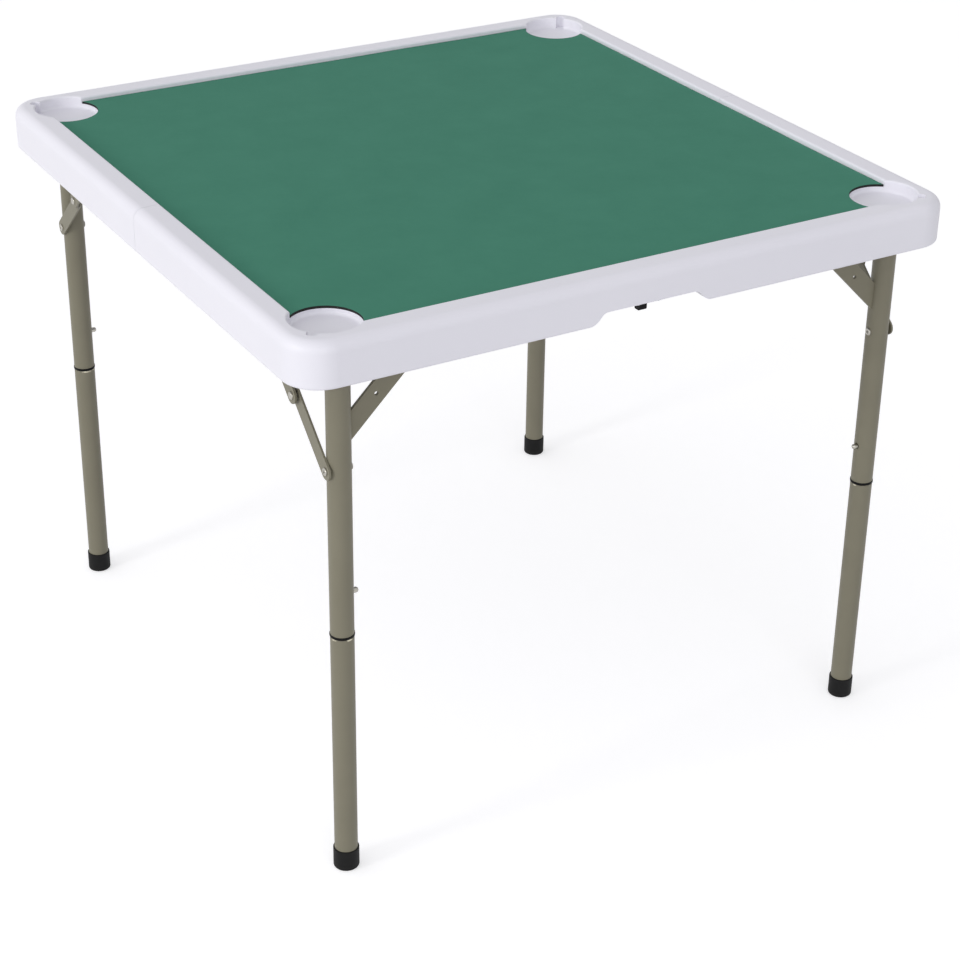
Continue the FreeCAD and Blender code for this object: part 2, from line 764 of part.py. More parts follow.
def handle_outline():
    """Waisted loop as (x, drop, round) corners about the pivot line."""
    right = [(handle_arm_inner, handle_arm_top, handle_arm_round),
             (handle_arm_outer, handle_arm_top, handle_arm_round),
             (handle_waist_outer, -handle_waist_drop, handle_waist_round),
             (handle_wide_outer, -handle_wide_drop, handle_waist_round / 2),
             (handle_wide_outer, -handle_length, handle_corner_round)]
    left = [(-x, drop, radius) for x, drop, radius in reversed(right)]
    inner = [(-handle_waist_inner, -handle_waist_drop, handle_waist_round),
             (-handle_wide_inner, -handle_wide_drop, handle_waist_round / 2),
             (-handle_wide_inner, -handle_opening_drop, handle_inner_round)]
    inner_right = [(-x, drop, radius) for x, drop, radius in reversed(inner)]
    return right + left + inner + inner_right


def handle():
    """Carrying handle that hangs from its pins, with a thick grip."""
    pivot = notch_top - handle_pivot_drop
    loop = plate(ALONG_Y, handle_outline(), -notch_y - handle_thickness / 2, handle_thickness)
    loop = rounded(loop, handle_edge_round, lambda edge: edge.BoundBox.YLength < running_gap)
    loop = loop.cut(handle_panels())
    grip_reach = handle_wide_outer - handle_corner_round / 2
    grip_drop = (handle_opening_drop + handle_length) / 2
    grip = rod(handle_grip_radius, V(-grip_reach, -notch_y, -grip_drop), ALONG_X, 2 * grip_reach)
    grip = rounded(grip, handle_edge_round, lambda edge: edge.BoundBox.XLength < running_gap)
    loop = loop.fuse(grip).removeSplitter()
    loop.translate(V(0, 0, pivot))
    return loop.cut(handle_pins())


def handle_panels():
    """Shallow panels in both faces of the handle's arms, an even border inside its outline."""
    field = outline(handle_outline()).makeOffset2D(-handle_panel_inset)
    field.rotate(V(0, 0, 0), ALONG_X, 90)
    field.translate(V(0, -notch_y, 0))
    sides = (-handle_thickness, handle_panel_depth - handle_thickness / 2)
    depths = [box((-half_side, half_side), [across * place - notch_y for place in sides],
                  (-handle_opening_drop, -handle_arm_top)) for across in (-1, 1)]
    whole = field.extrude(ALONG_Y * handle_thickness)
    whole.translate(ALONG_Y * (-handle_thickness / 2))
    return [whole.common(depth) for depth in depths]


def handle_pins():
    """Two steel pins between the handle arms and the ears."""
    pivot = notch_top - handle_pivot_drop
    reach = handle_plate_reach
    start = handle_arm_outer - handle_pin_depth
    pin = rod(handle_pin_radius, V(start, -notch_y, pivot), ALONG_X, reach - start)
    return [pin, mirrored(pin)]


def front_side():
    """Pieces that both halves share, on the front half, by plain name."""
    leg_pin, knuckle, bracket_pin = brace_points()
    pairs = {"upper_leg": upper_leg(), "lower_leg": lower_leg(), "foot": foot(), "snap_button": button(),
             "button_spring": spring(), "lower_link": link(leg_pin, knuckle, link_layer),
             "upper_link": link(knuckle, bracket_pin, outer_layer), "knuckle_rivet": knuckle_rivet()}
    groups = {"corner_struts": strut(), "leg_collars": collar(), "leg_rivets": leg_rivet(),
              "crossbar_saddles": saddle(), "brace_brackets": bracket(), "bracket_rivets": bracket_rivet()}
    pieces = {"crossbar": [crossbar()]}
    for name, right in pairs.items():
        pieces["right_" + name] = [right]
        pieces["left_" + name] = [mirrored(right)]
    for name, right in groups.items():
        pieces[name] = [right, mirrored(right)]
    return pieces


def all_pieces():
    """Every piece of the table by node name."""
    other_hand = {"left": "right", "right": "left"}
    pieces = {}
    for name, solids in front_side().items():
        hand, _, rest = name.partition("_")
        rear_name = "_".join((other_hand.get(hand, hand), rest)) if rest else name
        pieces["front_" + name] = solids
        pieces["rear_" + rear_name] = [turned_round(solid) for solid in solids]
    latch_fixings = notch_screws(latch_screw_x, latch_plate)
    handle_fixings = notch_screws(handle_screw_x, latch_plate)
    shared_screws = saddle_screws() + bracket_screws() + hinge_screws(True)
    pieces["front_top_half"] = [moulding(latch_fixings)]
    pieces["rear_top_half"] = [turned_round(moulding(handle_fixings))]
    pieces["front_screws"] = shared_screws + latch_fixings
    pieces["rear_screws"] = [turned_round(screw) for screw in shared_screws + handle_fixings]
    pieces["front_hinge_leaves"] = [hinge_leaf_plate(side, 0) for side in (-1, 1)]
    pieces["rear_hinge_leaves"] = [turned_round(hinge_leaf_plate(side, 1)) for side in (-1, 1)]
    pieces["hinge_pins"] = [hinge_pin(side) for side in (-1, 1)]
    pieces["playing_mat"] = [mat()]
    pieces["latch_base"] = [latch_base()]
    pieces["latch_hook"] = [latch_hook()]
    pieces["latch_pin"] = [latch_pin()]
    pieces["handle_base"] = [turned_round(handle_base())]
    pieces["carrying_handle"] = [turned_round(handle())]
    pieces["handle_pins"] = [turned_round(pin) for pin in handle_pins()]
    return pieces


os.makedirs("parts", exist_ok=True)
for node, solids in all_pieces().items():
    whole = Part.makeCompound(solids) if len(solids) > 1 else solids[0]
    whole.exportStep("parts/" + node + ".step")
    volumes = [round(solid.Volume / 1000, 2) for solid in solids]
    print(node, "valid" if whole.isValid() else "BROKEN", len(whole.Solids), "solids", volumes, "cm3")
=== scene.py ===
"""Folding game table: finishes, laid mat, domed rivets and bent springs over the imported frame.

Lengths are in metres, with +Z up.
"""

import logging
import math
from dataclasses import dataclass, field
from enum import Enum

import bpy
import numpy as np
from mathutils import Matrix, Vector

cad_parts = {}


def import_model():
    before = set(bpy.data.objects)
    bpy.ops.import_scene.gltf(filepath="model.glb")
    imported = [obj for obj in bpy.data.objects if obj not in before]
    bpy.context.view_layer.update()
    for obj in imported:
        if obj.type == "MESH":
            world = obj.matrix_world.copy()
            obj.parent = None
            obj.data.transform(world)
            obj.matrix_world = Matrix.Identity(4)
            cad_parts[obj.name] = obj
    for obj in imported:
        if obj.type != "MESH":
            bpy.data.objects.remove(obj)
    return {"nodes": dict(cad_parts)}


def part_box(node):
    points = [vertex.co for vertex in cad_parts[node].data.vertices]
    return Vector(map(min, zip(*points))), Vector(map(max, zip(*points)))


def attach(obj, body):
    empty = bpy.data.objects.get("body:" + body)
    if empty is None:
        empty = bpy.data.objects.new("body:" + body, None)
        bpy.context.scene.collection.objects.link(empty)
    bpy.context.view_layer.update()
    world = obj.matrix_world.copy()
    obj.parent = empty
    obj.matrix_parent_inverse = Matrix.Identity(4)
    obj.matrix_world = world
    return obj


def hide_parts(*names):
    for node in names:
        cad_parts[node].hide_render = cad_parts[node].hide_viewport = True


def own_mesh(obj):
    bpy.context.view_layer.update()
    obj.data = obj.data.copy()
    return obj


LOG = logging.getLogger("table")
MM = 0.001
ENDS = ("front", "rear")
HANDS = ("left", "right")
CORNERS = tuple(f"{end}_{hand}" for end in ENDS for hand in HANDS)
# Sockets of Blender's Mix node: the share, the pair of numbers, the pair of colours, and the two results.
MIX_SHARE = 0
MIX_NUMBERS = (2, 3)
MIX_COLOURS = (6, 7)
MIXED_NUMBER = 0
MIXED_COLOUR = 2
WHITE = "#ffffff"


def linear(code: str) -> tuple[float, float, float, float]:
    """Turn an sRGB hex colour into linear red, green, blue and alpha.

    Args:
        code: Colour as "#rrggbb".

    Returns:
        Linear colour with alpha 1.
    """
    parts = [int(code[i:i + 2], 16) / 255 for i in (1, 3, 5)]
    return (*(c / 12.92 if c <= 0.04045 else ((c + 0.055) / 1.055) ** 2.4 for c in parts), 1.0)


def add(tree: bpy.types.NodeTree, kind: str, settings: dict | None = None,
        links: dict | None = None) -> bpy.types.Node:
    """Add one node with its settings and incoming links.

    Args:
        tree: Node tree that takes the node.
        kind: Blender's node type.
        settings: Values by property name, or by socket name or number.
        links: Output sockets by the name or number of the socket that they feed.

    Returns:
        The new node.
    """
    node = tree.nodes.new(kind)
    for key, value in (settings or {}).items():
        if isinstance(key, str) and hasattr(node, key):
            setattr(node, key, value)
        else:
            node.inputs[key].default_value = value
    for key, source in (links or {}).items():
        tree.links.new(source, node.inputs[key])
    return node


class Grain(Enum):
    """How a surface was made, which sets the form of its fine relief."""

    PEBBLE = "moulded against an etched tool"
    PEEL = "flowed coating"
    FIBRE = "napped cloth"
    DRAWN = "drawn or rolled metal"
    SMOOTH = "polished"


@dataclass(frozen=True)
class Finish:
    """One finish: two shades that drift into each other, a roughness range and a fine relief.

    Sizes are real ones in millimetres, and the colours are sRGB hex values.
    """

    name: str
    light: str
    dark: str
    patch_mm: float
    grain: Grain
    grain_mm: float
    relief_mm: float
    rough: tuple[float, float]
    relief_share: float = 0.5
    metallic: float = 0.0
    ior: float = 1.5
    specular: float = 0.5
    sheen: float = 0.0
    stretch: tuple[float, float, float] = (1.0, 1.0, 1.0)
    octaves: float = 3.0
    octave_share: float = 0.55
    relief_octaves: float = 2.0
    pebble_blend: float = 0.6

    def shades(self, tree: bpy.types.NodeTree, place: bpy.types.NodeSocket) -> bpy.types.NodeSocket:
        """Mix the two shades by a soft cloud as large as the patch size.

        Args:
            tree: Material's node tree.
            place: Object coordinates.

        Returns:
            Colour output.
        """
        cloud = add(tree, "ShaderNodeTexNoise", {"Scale": 1 / (self.patch_mm * MM), "Detail": self.octaves,
                                                 "Roughness": self.octave_share}, {"Vector": place})
        dark, light = MIX_COLOURS
        mix = add(tree, "ShaderNodeMix",
                  {"data_type": "RGBA", dark: linear(self.dark), light: linear(self.light)},
                  {MIX_SHARE: cloud.outputs["Fac"]})
        return mix.outputs[MIXED_COLOUR]

    def relief(self, tree: bpy.types.NodeTree, place: bpy.types.NodeSocket) -> bpy.types.NodeSocket:
        """Height of the fine relief, from 0 to 1.

        Args:
            tree: Material's node tree.
            place: Object coordinates.

        Returns:
            Height output.
        """
        scale = 1 / (self.grain_mm * MM)
        if self.grain is Grain.PEBBLE:
            cells = add(tree, "ShaderNodeTexVoronoi",
                        {"feature": "SMOOTH_F1", "Scale": scale, "Smoothness": self.pebble_blend},
                        {"Vector": place})
            return cells.outputs["Distance"]
        run = add(tree, "ShaderNodeMapping", {"Scale": self.stretch}, {"Vector": place})
        noise = add(tree, "ShaderNodeTexNoise", {"Scale": scale, "Detail": self.relief_octaves},
                    {"Vector": run.outputs["Vector"]})
        return noise.outputs["Fac"]

    def material(self) -> bpy.types.Material:
        """Build the node material once and reuse it after that.

        Returns:
            The finish's material.
        """
        made = bpy.data.materials.get(self.name)
        if made:
            return made
        made = bpy.data.materials.new(self.name)
        made.use_nodes = True
        tree = made.node_tree
        tree.nodes.clear()
        place = add(tree, "ShaderNodeTexCoord").outputs["Object"]
        height = self.relief(tree, place)
        rough = add(tree, "ShaderNodeMapRange", {"To Min": self.rough[0], "To Max": self.rough[1]},
                    {"Value": height})
        bump = add(tree, "ShaderNodeBump", {"Strength": self.relief_share, "Distance": self.relief_mm * MM},
                   {"Height": height})
        shader = add(tree, "ShaderNodeBsdfPrincipled",
                     {"Metallic": self.metallic, "IOR": self.ior, "Specular IOR Level": self.specular,
                      "Sheen Weight": self.sheen},
                     {"Base Color": self.shades(tree, place), "Roughness": rough.outputs["Result"],
                      "Normal": bump.outputs["Normal"]})
        self.painted_marks(tree, shader, place)
        add(tree, "ShaderNodeOutputMaterial", {}, {"Surface": shader.outputs["BSDF"]})
        return made

    def painted_marks(self, tree: bpy.types.NodeTree, shader: bpy.types.Node, place: bpy.types.NodeSocket) -> None:
        """Add painted marks, such as painted highlights; a plain finish has none."""


@dataclass(frozen=True)
class PlugLegCoat(Finish):
    """Powder coat with bright metal spots painted at the shoulder, where the leg plugs into its socket, as
    highlights.
    """

    # Bright metal colour of the painted highlight spots at the shoulder.
    glint_colour: str = "#cfc9b4"
    glint_height_mm: float = 323.4
    glint_blend_mm: float = 0.9
    glint_spot_mm: float = 9.0
    glint_spot_edge: tuple[float, float] = (0.50, 0.62)
    glint_rough: float = 0.3

    def painted_marks(self, tree: bpy.types.NodeTree, shader: bpy.types.Node, place: bpy.types.NodeSocket) -> None:
        """Paint bright metal spots as highlights on the shoulder, and on the neck above it.

        Args:
            tree: Material's node tree.
            shader: Principled shader of the coat.
            place: Object coordinates.
        """
        height = add(tree, "ShaderNodeSeparateXYZ", {}, {"Vector": place}).outputs["Z"]
        # Noise picks the few spots that get the painted highlight.
        spots = add(tree, "ShaderNodeTexNoise",
                    {"Scale": 1 / (self.glint_spot_mm * MM), "Detail": self.relief_octaves}, {"Vector": place})
        paint_end, glint_start = self.glint_spot_edge
        glint_spots = add(tree, "ShaderNodeMapRange", {"From Min": paint_end, "From Max": glint_start},
                     {"Value": spots.outputs["Fac"]})
        start = self.glint_height_mm * MM
        end = start + self.glint_blend_mm * MM
        band = add(tree, "ShaderNodeMapRange", {"From Min": start, "From Max": end}, {"Value": height})
        share = add(tree, "ShaderNodeMath", {"operation": "MULTIPLY"},
                    {0: band.outputs["Result"], 1: glint_spots.outputs["Result"]}).outputs[0]
        paint = shader.inputs["Base Color"].links[0].from_socket
        under, over = MIX_COLOURS
        mix = add(tree, "ShaderNodeMix", {"data_type": "RGBA", over: linear(self.glint_colour)},
                  {MIX_SHARE: share, under: paint})
        tree.links.new(mix.outputs[MIXED_COLOUR], shader.inputs["Base Color"])
        tree.links.new(share, shader.inputs["Metallic"])
        coat = shader.inputs["Roughness"].links[0].from_socket
        under, over = MIX_NUMBERS
        rough = add(tree, "ShaderNodeMix", {"data_type": "FLOAT", over: self.glint_rough},
                    {MIX_SHARE: share, under: coat})
        tree.links.new(rough.outputs[MIXED_NUMBER], shader.inputs["Roughness"])


# Polyethylene, blow moulded against a lightly etched tool: a soft cool white with a broad satin light.
POLYETHYLENE = Finish("polyethylene_blow_moulded_white", "#ecebf1", "#e6e5ec", 170.0, Grain.PEBBLE, 1.6, 0.05,
                      (0.40, 0.50), relief_share=0.25, ior=1.51)
# Polyester cloth on foam rubber: the nap scatters light into soft darker and paler clouds. The fibre
# is 0.05 mm thick, drawn here as 1.8 mm tufts so that it shows.
MAT_CLOTH = Finish("polyester_nap_green", "#4a8b74", "#3d7d67", 70.0, Grain.FIBRE, 1.8, 0.12, (0.82, 0.95),
                   relief_share=0.6, specular=0.12, sheen=0.03, octaves=6.0, octave_share=0.75)
# Foam rubber sheet: dead black with open pores, seen at the mat's cut edge and underneath.
MAT_FOAM = Finish("foam_rubber_black", "#1b1b1a", "#121211", 25.0, Grain.PEBBLE, 0.9, 0.10, (0.85, 0.95))
# Powder coat baked on steel tube: warm grey with a faint peel that breaks up the long highlight.
COAT = {"light": "#827e6c", "dark": "#787463", "patch_mm": 60.0, "grain": Grain.PEEL, "grain_mm": 1.4,
        "relief_mm": 0.03, "rough": (0.38, 0.50), "relief_share": 0.35, "specular": 0.3}
POWDER_COAT = Finish("powder_coat_warm_grey", **COAT)
# The same coat on the plug-in legs, with bright metal spots painted at the shoulder as highlights.
PLUG_LEG_COAT = PlugLegCoat("powder_coat_painted_shoulder_glints", **COAT)
# Zinc plate on pressed steel: a cool grey metal with fine drawn lines.
ZINC_PLATE = Finish("zinc_plated_steel", "#c9cbce", "#b4b7bb", 9.0, Grain.DRAWN, 1.2, 0.02, (0.24, 0.40),
                    metallic=1.0, stretch=(1.0, 1.0, 0.12))
# Nickel plate on turned steel: a bright dome with hardly any texture.
NICKEL_PLATE = Finish("nickel_plated_steel", "#b8b5ad", "#a19e96", 4.0, Grain.SMOOTH, 0.8, 0.005,
                      (0.10, 0.18), metallic=1.0)
# Zinc plate on a clinched rivet: duller than nickel, with the tool's rub on the dome.
RIVET_STEEL = Finish("zinc_plated_rivet_steel", "#bfbcb4", "#a3a098", 5.0, Grain.DRAWN, 0.9, 0.01,
                     (0.26, 0.40), metallic=1.0)
# Steel inside the clinched star, painted dark as the shade that falls in its hollow.
RIVET_STAR_SHADE = Finish("rivet_star_painted_shade", "#5d5a54", "#46443f", 3.0, Grain.DRAWN, 0.8, 0.01, (0.45, 0.60),
                      metallic=0.6)
# Nylon bush, injection moulded: black with a soft shine.
NYLON_BLACK = Finish("nylon_moulded_black", "#0b0b0c", "#070708", 12.0, Grain.PEBBLE, 0.7, 0.03, (0.40, 0.52),
                     relief_share=0.3, specular=0.12)
# Natural rubber cap: matt black that greys a little where the mould was dusted.
RUBBER_BLACK = Finish("rubber_moulded_black", "#141414", "#0d0d0d", 8.0, Grain.PEEL, 0.9, 0.06, (0.55, 0.72),
                      specular=0.2)
# Polypropylene handle, moulded with a fine leather grain: black, with a wide dull highlight.
POLYPROPYLENE_BLACK = Finish("polypropylene_grained_black", "#242425", "#1a1a1b", 14.0, Grain.PEBBLE, 1.1,
                             0.06, (0.38, 0.52), relief_share=0.5)


def dress(nodes: dict[str, bpy.types.Object], name: str, finish: Finish) -> None:
    """Give a CAD node one finish on all its material slots.

    Args:
        nodes: CAD nodes by name.
        name: Node that gets the finish.
        finish: Its finish.
    """
    mesh = nodes[name].data
    mesh.materials.clear()
    mesh.materials.append(finish.material())


def grid_faces(rows: int, columns: int) -> np.ndarray:
    """Quads of a grid that is closed round its columns.

    Args:
        rows: Number of rings.
        columns: Points in each ring.

    Returns:
        Vertex numbers, one row of four for each quad.
    """
    row, column = np.meshgrid(np.arange(rows - 1), np.arange(columns), indexing="ij")
    after = (column + 1) % columns
    here, above = row * columns, (row + 1) * columns
    return np.stack([here + column, here + after, above + after, above + column], axis=-1).reshape(-1, 4)


def ring_surface(name: str, shells: list[np.ndarray], finishes: list[Finish],
                 shades: np.ndarray) -> bpy.types.Object:
    """Closed surfaces from rings of points, each shell capped at both ends by a fan about the ring's mean.

    Args:
        name: Object name.
        shells: Arrays of shape (rings, points, 3), wound so that the faces point outwards.
        finishes: Materials in slot order.
        shades: Slot numbers of a shell's quads, one row for each band between two rings, with one number
            for the whole band or one for each quad.

    Returns:
        The new object, linked to the scene.
    """
    points, faces, slots = [], [], []
    start = 0
    for shell in shells:
        rings, columns, _ = shell.shape
        ends = np.stack([shell[0].mean(axis=0), shell[-1].mean(axis=0)])
        points.append(np.concatenate([shell.reshape(-1, 3), ends]))
        faces += (grid_faces(rings, columns) + start).tolist()
        slots += np.broadcast_to(shades.reshape(rings - 1, -1), (rings - 1, columns)).ravel().tolist()
        here = np.arange(columns)
        after = (here + 1) % columns
        first = start + rings * columns
        last_ring = (rings - 1) * columns + start
        faces += np.stack([np.full(columns, first), after + start, here + start], axis=-1).tolist()
        last = first + 1
        faces += np.stack([np.full(columns, last), here + last_ring, after + last_ring], axis=-1).tolist()
        slots += [int(shades.flat[0])] * columns + [int(shades.flat[-1])] * columns
        start += rings * columns + 2
    mesh = bpy.data.meshes.new(name)
    mesh.from_pydata(np.concatenate(points).tolist(), [], faces)
    for finish in finishes:
        mesh.materials.append(finish.material())
    mesh.polygons.foreach_set("material_index", np.array(slots, dtype=np.int32))
    mesh.polygons.foreach_set("use_smooth", np.ones(len(faces), dtype=bool))
    mesh.update()
    made = bpy.data.objects.new(name, mesh)
    bpy.context.scene.collection.objects.link(made)
    return made


@dataclass
class PlayingMat:
    """Loose square mat of cloth on foam rubber, with a round bite at each corner."""

    half: float = 404.0 * MM
    bite: float = 41.0 * MM
    bite_centre: float = 378.0 * MM
    under: float = 706.0 * MM
    thickness: float = 3.0 * MM
    edge_round: float = 0.7 * MM
    edge_steps: int = 4
    ripple: float = 0.25 * MM
    long_swell: tuple[float, float] = (17.0, 5.0)
    cross_swell: tuple[float, float] = (-7.0, 13.0)
    short_swell: tuple[float, float] = (31.0, -23.0)
    short_share: float = 0.5
    run_points: int = 96
    arc_points: int = 40
    rings: int = 40
    crowding: float = 1.5
    calm: float = 0.80

    def outline(self, inset: float, hollow: bool = True) -> np.ndarray:
        """Path round the mat at one depth inside its edge, counter-clockwise from above.

        Each side is a straight run between two bites. Each bite is an arc about its own centre, run
        backwards because it is hollow, or else a straight line from run to run. One side and bite are
        turned by quarter turns.

        Args:
            inset: Depth inside the edge.
            hollow: False for the path that crosses the bites straight.

        Returns:
            Points of shape (points, 2).
        """
        half, bite = self.half - inset, self.bite + inset
        reach = half - self.bite_centre
        end = self.bite_centre - math.sqrt(bite ** 2 - reach ** 2)
        run = np.stack([np.linspace(-end, end, self.run_points, endpoint=False),
                        np.full(self.run_points, -half)], axis=-1)
        first = math.atan2(-reach, end - self.bite_centre) + math.tau
        angle = np.linspace(first, math.pi * 1.5 - first, self.arc_points, endpoint=False)
        arc = bite * np.stack([np.cos(angle), np.sin(angle)], axis=-1) + (self.bite_centre, -self.bite_centre)
        line = np.linspace((end, -half), (half, -end), self.arc_points, endpoint=False)
        side = np.concatenate([run, arc if hollow else line])
        turns = [np.array([[math.cos(a), math.sin(a)], [-math.sin(a), math.cos(a)]])
                 for a in np.arange(4) * math.pi / 2]
        return np.concatenate([side @ turn for turn in turns])

    def build(self) -> bpy.types.Object:
        """Make the sheet: rings that shrink to the middle on top, round the cut edge and back underneath.

        A ring is the outline at its depth inside the edge, scaled about the middle. Away from the edge it
        eases into the path that crosses the bites straight, so that no quad is long and thin near a bite.
        The rings crowd towards the edge by a power. The top rises and falls by a slow sum of sines, whose
        turns are in radians a metre, so that the light drifts over it as on a laid cloth.

        Returns:
            The mat's object.
        """
        scale = 1 - (1 - np.linspace(0.0, 1.0, self.rings + 1)[1:]) ** self.crowding
        turn = np.linspace(0.0, math.pi / 2, self.edge_steps + 1)[1:]
        level = np.ones(self.rings)
        cut = self.edge_round / 2
        inset = np.concatenate([level * self.edge_round, self.edge_round * (1 - np.sin(turn)), [0.0, cut],
                                level * self.edge_round])
        top = self.under + self.thickness
        height = np.concatenate([level * top, top - self.edge_round * (1 - np.cos(turn)),
                                 [self.under + cut, self.under], level * self.under])
        shrink = np.concatenate([scale, np.ones(len(turn) + 2), scale[::-1]])
        share = np.clip((shrink - self.calm) / (1 - self.calm), 0.0, 1.0)[:, None, None]
        ease = share ** 2 * (3 - 2 * share)
        drawn = np.stack([self.outline(depth) for depth in inset])
        flat = (drawn * ease + self.outline(0.0, hollow=False) * (1 - ease)) * shrink[:, None, None]
        z = np.broadcast_to(height[:, None], flat.shape[:2]).copy()
        long, cross, short = (np.sin(flat @ np.array(swell))
                              for swell in (self.long_swell, self.cross_swell, self.short_swell))
        wave = long * cross + self.short_share * short
        z += np.where(z > self.under + self.thickness / 2, self.ripple * wave, 0.0)
        shell = np.concatenate([flat, z[..., None]], axis=-1)[:, ::-1]
        cloth_bands = self.rings + 1
        shades = np.where(np.arange(len(shrink) - 1) < cloth_bands, 0, 1)
        mat = ring_surface("laid_mat", [shell], [MAT_CLOTH, MAT_FOAM], shades)
        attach(mat, "mat")
        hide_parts("playing_mat")
        return mat


@dataclass
class RivetSet:
    """Domed rivets along X that stand for one CAD node of plain ones."""

    node: str
    body: str
    shank: float = 3.0 * MM
    head: float = 4.8 * MM
    head_height: float = 2.0 * MM
    star_depth: float = 0.8 * MM
    star_reach: float = 2.3 * MM
    star_points: int = 5
    star_power: int = 4
    star_floor: float = 0.55
    star_shadow: float = 0.42
    rim_share: float = 0.2
    pole_angle: float = 0.03
    dome_rings: int = 24
    columns: int = 60

    def profile(self, low: float, high: float) -> tuple[np.ndarray, np.ndarray]:
        """Half section of one rivet from its low pole to its high pole.

        A head is a quarter ellipse on a short straight rim, and the shank joins the two. The ellipse starts
        at a small angle, so that the pole's ring isn't a point.

        Args:
            low: Place of the low pole along X.
            high: Place of the high pole along X.

        Returns:
            Places along X and radii.
        """
        angle = np.linspace(self.pole_angle, math.pi / 2, self.dome_rings)
        radius = self.head * np.sin(angle)
        rise = self.head_height * (1 - self.rim_share) * (1 - np.cos(angle))
        grip_low, grip_high = low + self.head_height, high - self.head_height
        along = np.concatenate([low + rise, [grip_low, grip_low, grip_high, grip_high], (high - rise)[::-1]])
        around = np.concatenate([radius, [self.head, self.shank, self.shank, self.head], radius[::-1]])
        return along, around

    def shell(self, low: float, high: float, y: float, z: float) -> tuple[np.ndarray, np.ndarray]:
        """Turn the section about the rivet's axis, with a small star pressed into each dome.

        The star lowers the dome by its depth times a bell curve of the radius and a cosine of the angle.

        Args:
            low: Low end along X.
            high: High end along X.
            y: Axis place along Y.
            z: Axis place along Z.

        Returns:
            Rings of shape (profile points, columns, 3), and 1 for each quad of painted star shade, 0 for the
            rest.
        """
        along, around = self.profile(low, high)
        angle = np.linspace(0, math.tau, self.columns, endpoint=False)
        bell = np.exp(-(around / self.star_reach)[:, None] ** self.star_power)
        press = bell * (self.star_floor + (1 - self.star_floor) * np.cos(self.star_points * angle))
        middle = (low + high) / 2
        x = along[:, None] + self.star_depth * press * np.sign(middle - along)[:, None]
        radius = around[:, None]
        rings = np.stack([x, y + radius * np.sin(angle), z + radius * np.cos(angle)], axis=-1)
        # Quads pressed deep enough into the star take the painted shade of its hollow.
        star = (press[:-1] + press[1:]) / 2 > self.star_shadow
        return rings[:, ::-1], star[:, ::-1].astype(np.int32)

    def build(self) -> bpy.types.Object:
        """Make every rivet of the node in its own place.

        A node that reaches over the middle holds one rivet on each side, which ends where its points do.

        Returns:
            One object with all the rivets.
        """
        low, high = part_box(self.node)
        y, z = (low.y + high.y) / 2, (low.z + high.z) / 2
        spans = [(low.x, high.x)]
        if low.x < 0 < high.x:
            vertices = bpy.data.objects[self.node].data.vertices
            places = np.empty((len(vertices), 3))
            vertices.foreach_get("co", places.ravel())
            x = places[:, 0]
            spans = [(low.x, x[x < 0].max()), (x[x > 0].min(), high.x)]
        shells, star_shades = zip(*[self.shell(start, end, y, z) for start, end in spans])
        made = ring_surface(f"{self.node}_domed", list(shells), [RIVET_STEEL, RIVET_STAR_SHADE], star_shades[0])
        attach(made, self.body)
        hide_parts(self.node)
        return made


@dataclass
class LeafSpring:
    """Bent strip of spring steel behind one snap button, which closes up as the button is pressed."""

    corner: str
    sheet: float = 0.6 * MM
    width: float = 6.0 * MM
    travel: float = 7.0 * MM
    bend: float = 0.12
    squareness: float = 0.3
    steps: int = 64
    columns: int = 24

    def build(self) -> bpy.types.Object:
        """Carry the strip's section along a V with a rounded bend.

        The path runs across the CAD spring's box. Its height is a hyperbola of the place across, so that
        the two arms are nearly straight. The section is a superellipse as thick as the sheet.

        Returns:
            The spring's object.
        """
        node = f"{self.corner}_button_spring"
        low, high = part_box(node)
        across = np.linspace(-1.0, 1.0, self.steps)
        curve = (np.hypot(across, self.bend) - self.bend) / (math.hypot(1.0, self.bend) - self.bend)
        x = (low.x + high.x) / 2 + across * (high.x - low.x - self.sheet) / 2
        z = low.z + self.sheet / 2 + curve * (high.z - low.z - self.sheet)
        run = np.stack([np.gradient(x), np.gradient(z)], axis=-1)
        run /= np.linalg.norm(run, axis=-1, keepdims=True)
        angle = np.linspace(0.0, math.tau, self.columns, endpoint=False)
        thick = self.sheet / 2 * np.sign(np.cos(angle)) * np.abs(np.cos(angle)) ** self.squareness
        wide = self.width / 2 * np.sign(np.sin(angle)) * np.abs(np.sin(angle)) ** self.squareness
        y = np.broadcast_to((low.y + high.y) / 2 + wide, (self.steps, self.columns))
        shell = np.stack([x[:, None] - run[:, 1:] * thick, y, z[:, None] + run[:, :1] * thick], axis=-1)
        shades = np.zeros(self.steps - 1, dtype=np.int32)
        made = ring_surface(f"{node}_bent", [shell[:, ::-1]], [ZINC_PLATE], shades)
        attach(made, f"{self.corner}_leg")
        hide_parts(node)
        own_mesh(made)
        return made


@dataclass
class LegFrame:
    """Crossbar, two upper legs, struts, collars and brace rivets of one end."""

    end: str

    def build(self, nodes: dict[str, bpy.types.Object]) -> list[bpy.types.Object]:
        """Dress the frame's nodes and make its rivets.

        Args:
            nodes: CAD nodes by name.

        Returns:
            New pieces.
        """
        for piece in ("crossbar", "left_upper_leg", "right_upper_leg", "corner_struts"):
            dress(nodes, f"{self.end}_{piece}", POWDER_COAT)
        dress(nodes, f"{self.end}_leg_collars", NYLON_BLACK)
        return [RivetSet(f"{self.end}_leg_rivets", f"{self.end}_frame").build()]


@dataclass
class PlugLeg:
    """Lower leg of one corner with its foot, snap button and spring."""

    corner: str

    def build(self, nodes: dict[str, bpy.types.Object]) -> list[bpy.types.Object]:
        """Dress the leg's nodes and bend its spring.

        Args:
            nodes: CAD nodes by name.

        Returns:
            New pieces.
        """
        dress(nodes, f"{self.corner}_lower_leg", PLUG_LEG_COAT)
        dress(nodes, f"{self.corner}_foot", RUBBER_BLACK)
        dress(nodes, f"{self.corner}_snap_button", NICKEL_PLATE)
        return [LeafSpring(self.corner).build()]


